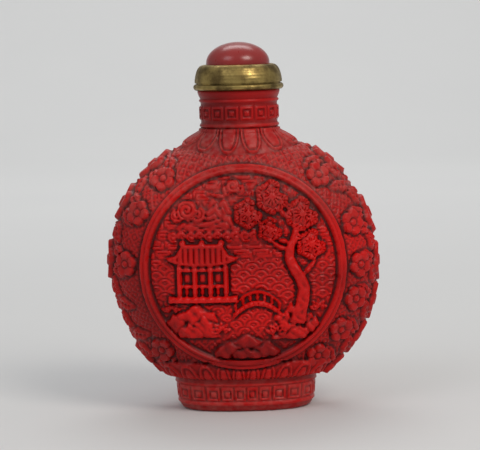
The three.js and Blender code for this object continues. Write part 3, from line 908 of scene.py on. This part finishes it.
def bottleGrid():
    bearing = columnBearings()
    heights = ringHeights()
    outer = np.stack([outerReach(z, bearing) for z in heights])
    # the foot's lower edge is worn round
    worn = foot["wornEdge"]
    for i, level in enumerate(heights):
        if level < worn:
            outer[i] -= worn * (1 - math.sqrt(1 - (1 - level / worn) ** 2))
    # and so, less, is the lip's upper edge
    outer[-2] -= 0.06
    outer[-1] -= 0.28
    x = outer * np.cos(bearing)
    y = outer * np.sin(bearing)
    z = np.repeat(np.array(heights)[:, None], len(bearing), axis=1)
    place = np.stack([x, y, z], axis=-1)
    alongRing = np.roll(place, -1, 1) - np.roll(place, 1, 1)
    upRing = np.gradient(place, axis=0)
    normal = np.cross(alongRing, upRing)
    normal /= np.maximum(np.linalg.norm(normal, axis=-1, keepdims=True), 1e-9)
    height = carveAll(x, y, z, np.broadcast_to(bearing, x.shape))
    height *= smoothStep(0.3, 0.9, z) * (1 - smoothStep(neck["top"] - 1.4, neck["top"] - 0.8, z))
    place = place + normal * height[..., None]
    rows, looks = [], []

    def addRow(reach, level, cut=0.0):
        ring = [reach * np.cos(bearing), reach * np.sin(bearing), np.full_like(bearing, level)]
        rows.append(np.stack(ring, axis=-1))
        nothing = np.zeros_like(bearing)
        looks.append(np.stack([np.full_like(bearing, cut), nothing, nothing], axis=-1))

    # under the foot: the floor of the recess, its wall, and the rim that the bottle stands on
    inset = recess["inset"]
    hollow = ovalReach(foot["halfWidth"] - inset, foot["halfDepth"] - inset, foot["squareness"], bearing)
    # painted shade: the recess's floor and wall are marked to be painted darker
    for share in (0.0, 0.25, 0.5, 0.75, 0.93):
        addRow(hollow * share, recess["depth"], -0.2)
    addRow(hollow - 0.12, recess["depth"] - 0.05, -0.3)
    addRow(hollow, recess["depth"] - 0.3, -0.2)
    addRow(hollow, 0.25)
    addRow(hollow + 0.1, 0.06)
    addRow(hollow + 0.3, 0.0)
    # the carved skin from the foot to the lip
    rows += list(place)
    # each point's height above or below its neighbours: it paints shade into the cuts and lightens rubbed
    # ridges
    detail = height - spread(height, 12)
    looks += list(np.stack([detail, paintedLightMap(x, y, z), paintedSheenMask(z, normal[..., 2])], axis=-1))
    # over the lip and down the bore
    lip = neck["top"]
    addRow((neck["lipRadius"] + bore["radius"]) / 2, lip)
    addRow(bore["radius"] + 0.3, lip)
    addRow(bore["radius"] + 0.06, lip - 0.1)
    centre, radius = cavity["centre"], cavity["radius"]
    steps = weave["insideRings"]
    turns = [math.pi * (0.04 + 0.95 * i / steps) for i in range(steps + 1)]
    levels = [lip - 0.4, lip - 4, lip - 8, centre + radius + 2]
    # then the hollow, from the shoulder to its floor
    levels += [centre + radius * math.cos(turn) for turn in turns]
    # painted shade: the whole inside is marked to be painted darker
    for level in levels:
        addRow(innerReach(level, bearing), level, -0.1)
    addRow(0.5, centre - radius + 0.05, -0.1)
    addRow(0.0, centre - radius + 0.04, -0.1)
    print("bottle mesh:", len(bearing), "columns,", len(rows), "rings")
    return np.stack(rows), np.stack(looks)


def buildBottle():
    rows, looks = bottleGrid()
    rings, columns = rows.shape[:2]
    bpy.ops.mesh.primitive_grid_add(x_subdivisions=columns, y_subdivisions=rings - 1, size=1)
    bottle = bpy.context.object
    bottle.name = "carved_bottle"
    bpy.ops.object.transform_apply(location=True, rotation=True, scale=True)
    # roll the flat grid round the axis: its last column lands on its first
    vertices = np.concatenate([rows, rows[:, :1]], axis=1).reshape(-1, 3) * mm
    bottle.data.vertices.foreach_set("co", vertices.astype(np.float32).ravel())
    looks = np.concatenate([looks, looks[:, :1]], axis=1).reshape(-1, 3).astype(np.float32)
    for i, name in enumerate(("cut", "paintedLight", "paintedSheen")):
        bottle.data.attributes.new(name, "FLOAT", "POINT").data.foreach_set("value", looks[:, i].copy())
    makeActive(bottle)
    bpy.ops.object.mode_set(mode="EDIT")
    closeSkin()
    triangles = sum(len(face.vertices) - 2 for face in bottle.data.polygons)
    # thin the mesh where it is smooth, so that the triangles go to the carving
    thinner = bottle.modifiers.new("thinner", "DECIMATE")
    thinner.ratio = weave["mostTriangles"] / triangles
    thinner.use_collapse_triangulate = True
    bpy.ops.object.modifier_apply(modifier=thinner.name)
    smoothShade(bottle, weave["sharpAngle"])
    print("bottle triangles:", triangles, "thinned to", len(bottle.data.polygons))
    return bottle


# lacquer: many brushed coats of red tree lacquer, carved, then rubbed by hands. The eye sees a deep
# red body under a soft gloss, with painted shade in the cuts, a touch lighter where ridges are rubbed

lacquer = {
    "cut": "#4a0505", "dark": "#880909", "light": "#d2120f", "rubbed": "#c81d18", "paintedSheen": "#b4776e",
    "roughness": 0.36, "sheen": 0.2, "paintedSheenMost": 0.16,
}


def carvedLacquer():
    material, tree, shader, place = newMaterial("carvedCinnabarLacquer")
    cut, paintedLight, paintedSheen = (addNode(tree, "Attribute", {"attribute_name": name}, {}, "Fac")
                        for name in ("cut", "paintedLight", "paintedSheen"))
    # tone drifts over 15 mm or so, as hand-mixed coats do, on top of the patches of painted light and shade
    drift = noise(tree, place, 70.0, 3.0, 0.6)
    toned = compute(tree, "ADD", paintedLight, remap(tree, drift, 0.3, 0.7, -0.3, 0.3))
    coat = blend(tree, remap(tree, toned, -1.0, 1.0), lacquer["dark"], lacquer["light"])
    # painted shade: the cuts, the recess under the foot and the inside of the bottle are darkened towards a
    # deep red-brown
    base = blend(tree, remap(tree, cut, -0.3, 0.05), lacquer["cut"], coat)
    worn = compute(tree, "MULTIPLY", remap(tree, cut, 0.1, 0.5, 0.0, 0.6), drift)
    rubbed = blend(tree, worn, base, lacquer["rubbed"])
    # the painted sheen is laid in grains about 1 mm across
    paintedSheenGrains = remap(tree, noise(tree, place, 900.0, 4.0), 0.35, 0.65, 0.0, 2 * lacquer["paintedSheenMost"])
    skin = blend(tree, compute(tree, "MULTIPLY", paintedSheen, paintedSheenGrains), rubbed, lacquer["paintedSheen"])
    # brush marks and pores about 0.4 mm across make the gloss uneven
    pores = noise(tree, place, 2400.0)
    roughness = lacquer["roughness"]
    setInputs(tree, shader, {
        "Base Color": skin, "Roughness": remap(tree, pores, 0.0, 1.0, roughness - 0.06, roughness + 0.12),
        "Normal": bump(tree, pores, 0.12, 0.0002), "IOR": 1.5, "Specular IOR Level": lacquer["sheen"]})
    return material


bottle = buildBottle()
bottle.data.materials.append(carvedLacquer())
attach(bottle, "root")
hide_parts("bottle")
print("bottle carved")


# the stopper: a brass collar turned on a lathe, a lacquer dome set in it, and its cork

collar = {
    "low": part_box("stopper_collar")[0].z / mm, "height": 5.0, "radius": 9.0, "mouth": 7.0, "wall": 0.45,
    "seat": 0.8, "turns": 96, "dents": 0.05, "brass": "#ab9358", "tarnish": "#655433",
}
dome = {
    "low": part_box("stopper_dome")[0].z / mm, "radius": 6.3, "height": 5.2, "edge": 1.1, "turns": 96,
    "dark": "#7e0f0d", "light": "#9b1c17",
}
cork = {"bark": "#b58f62", "pores": "#5e3f25"}


# spins a profile of radius and height round the upright axis into a closed turned piece
def spinProfile(name, profile, turns):
    mesh = bpy.data.meshes.new(name)
    lines = [(i, i + 1) for i in range(len(profile) - 1)]
    mesh.from_pydata([(reach * mm, 0, height * mm) for reach, height in profile], lines, [])
    piece = addObject(name, mesh)
    makeActive(piece)
    bpy.ops.object.mode_set(mode="EDIT")
    bpy.ops.mesh.select_all(action="SELECT")
    bpy.ops.mesh.spin(steps=turns, angle=2 * math.pi, center=(0, 0, 0), axis=(0, 0, 1))
    closeSkin()
    return piece


def buildCollar():
    low, radius, mouth = collar["low"], collar["radius"], collar["mouth"]
    top = low + collar["height"]
    profile = [(0, low), (4.4, low), (radius - 0.5, low), (radius - 0.32, low + 0.05)]
    for i in range(9):
        turn = -math.pi / 2 + math.pi * i / 8
        profile.append((radius - 0.55 + 0.55 * math.cos(turn), low + 0.62 + 0.57 * math.sin(turn)))
    profile += [(radius - 0.62, low + 1.22), (radius - 0.6, low + 1.36)]
    for i in range(22):
        turn = i / 21 * math.pi / 2
        swell = (radius - 0.3 - mouth) * math.cos(turn)
        profile.append((mouth + swell, low + 1.45 + (collar["height"] - 1.5) * math.sin(turn)))
    inner, seat = mouth - collar["wall"], top - collar["seat"]
    profile += [(mouth - 0.08, top), (inner + 0.1, top - 0.02), (inner, top - 0.14)]
    profile += [(inner, seat), (3.0, seat), (0, seat)]
    piece = spinProfile("brass_collar", profile, collar["turns"])
    # years of handling leave shallow dents a few hundredths deep
    for vertex in piece.data.vertices:
        x, y, z = (c / mm for c in vertex.co)
        reach, turn = math.hypot(x, y), math.atan2(y, x)
        if reach > mouth and z > low + 0.3:
            push = collar["dents"] * math.sin(3 * turn + 1.3 * z) * math.sin(5 * turn + 0.7)
            vertex.co.x *= 1 - abs(push) / reach
            vertex.co.y *= 1 - abs(push) / reach
    smoothShade(piece, 40)
    return piece


def buildDome():
    low, radius, edge = dome["low"], dome["radius"], dome["edge"]
    profile = [(0, low), (radius - 0.35, low), (radius - 0.08, low + 0.12), (radius, low + 0.4)]
    for i in range(25):
        turn = i / 24 * math.pi / 2
        profile.append((radius * math.cos(turn), low + edge + (dome["height"] - edge) * math.sin(turn)))
    profile[-1] = (0, profile[-1][1])
    piece = spinProfile("lacquer_dome", profile, dome["turns"])
    smoothShade(piece, 50)
    return piece


# old gilt brass: turned from sheet, its gilding thinned to bare olive-brown brass with dull patches
def agedBrass():
    material, tree, shader, place = newMaterial("turnedAgedBrass")
    tarnish = remap(tree, noise(tree, place, 320.0, 5.0, 0.65), 0.4, 0.66)
    # turning marks run round it, a third of a millimetre apart
    marks = {"Vector": place, "Scale": 480.0, "Distortion": 1.2, "Detail": 1.0}
    lathe = addNode(tree, "TexWave", {"wave_type": "BANDS", "bands_direction": "Z"}, marks, "Fac")
    setInputs(tree, shader, {
        "Base Color": blend(tree, tarnish, collar["brass"], collar["tarnish"]), "Metallic": 1.0,
        "Roughness": remap(tree, tarnish, 0.0, 1.0, 0.34, 0.6), "Normal": bump(tree, lathe, 0.1, 0.0002)})
    return material


# the dome's lacquer is polished, not carved: the same red under a clear gloss, with hairline scuffs
def polishedLacquer():
    material, tree, shader, place = newMaterial("polishedRedLacquer")
    drift = noise(tree, place, 260.0, 4.0)
    scuffs = noise(tree, place, 1500.0, 6.0)
    setInputs(tree, shader, {
        "Base Color": blend(tree, drift, dome["dark"], dome["light"]), "IOR": 1.52,
        "Roughness": remap(tree, scuffs, 0.0, 1.0, 0.2, 0.42), "Coat Weight": 0.2, "Coat Roughness": 0.15})
    return material


# cork: cut bark with a tan body, dark lenticels a millimetre long, and a crumbly matt skin
def cutCork():
    material, tree, shader, place = newMaterial("cutCorkBark")
    pores = remap(tree, noise(tree, place, 900.0, 6.0, 0.7), 0.56, 0.68)
    cells = addNode(tree, "TexVoronoi", {}, {"Vector": place, "Scale": 700.0}, "Distance")
    setInputs(tree, shader, {
        "Base Color": blend(tree, pores, cork["bark"], cork["pores"]), "Roughness": 0.9,
        "Normal": bump(tree, cells, 0.4, 0.0003)})
    return material


brassCollar = buildCollar()
brassCollar.data.materials.append(agedBrass())
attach(brassCollar, "root")
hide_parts("stopper_collar")

lacquerDome = buildDome()
lacquerDome.data.materials.append(polishedLacquer())
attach(lacquerDome, "root")
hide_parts("stopper_dome")

# the cork solid stays as it is, under a better material
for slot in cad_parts["stopper_cork"].material_slots:
    slot.link = "OBJECT"
    slot.material = cutCork()
print("stopper built")
